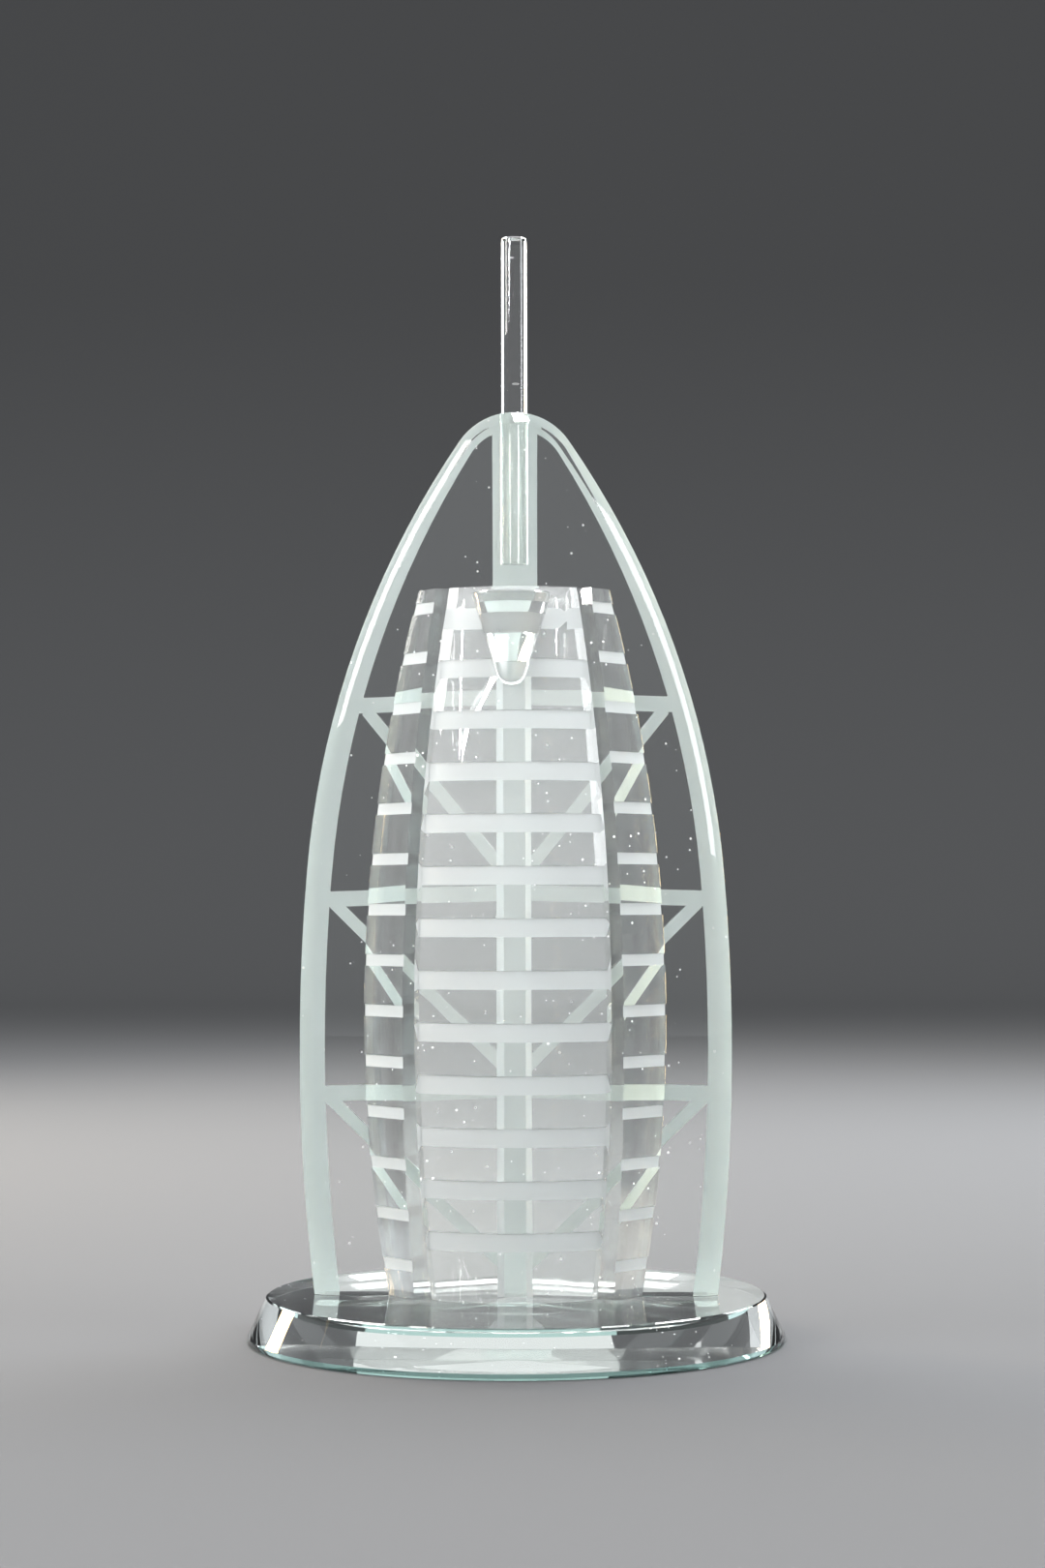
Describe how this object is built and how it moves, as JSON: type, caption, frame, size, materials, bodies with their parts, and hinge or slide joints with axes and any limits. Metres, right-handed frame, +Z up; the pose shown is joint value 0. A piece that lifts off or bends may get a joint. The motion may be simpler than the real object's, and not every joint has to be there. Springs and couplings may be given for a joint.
{
  "type": "crystal award",
  "caption": "Clear crystal award: a bevelled round base under an arch-shaped plate with frosted art, a bowed sail-like front, a cone pod and a mast rod.",
  "frame": {"origin": "centre of the base disc's underside", "axes": "+Z up along the mast, +X to the right seen from the front, the bowed front and the pod face -Y"},
  "size_m": [0.12, 0.12, 0.2486],
  "materials": {
    "crystal": "polished optical crystal with sand-carved areas",
    "adhesive": "cured clear adhesive"
  },
  "bodies": {
    "root": {"base_disc": "crystal", "arch_plate": "crystal", "mast_rod": "crystal", "left_wing": "crystal", "right_wing": "crystal", "sail_sheet": "crystal", "pod": "crystal", "foot_bond": "adhesive", "wing_bond": "adhesive", "sail_bond": "adhesive", "mast_bond": "adhesive", "pod_bond": "adhesive"}
  },
  "joints": []
}
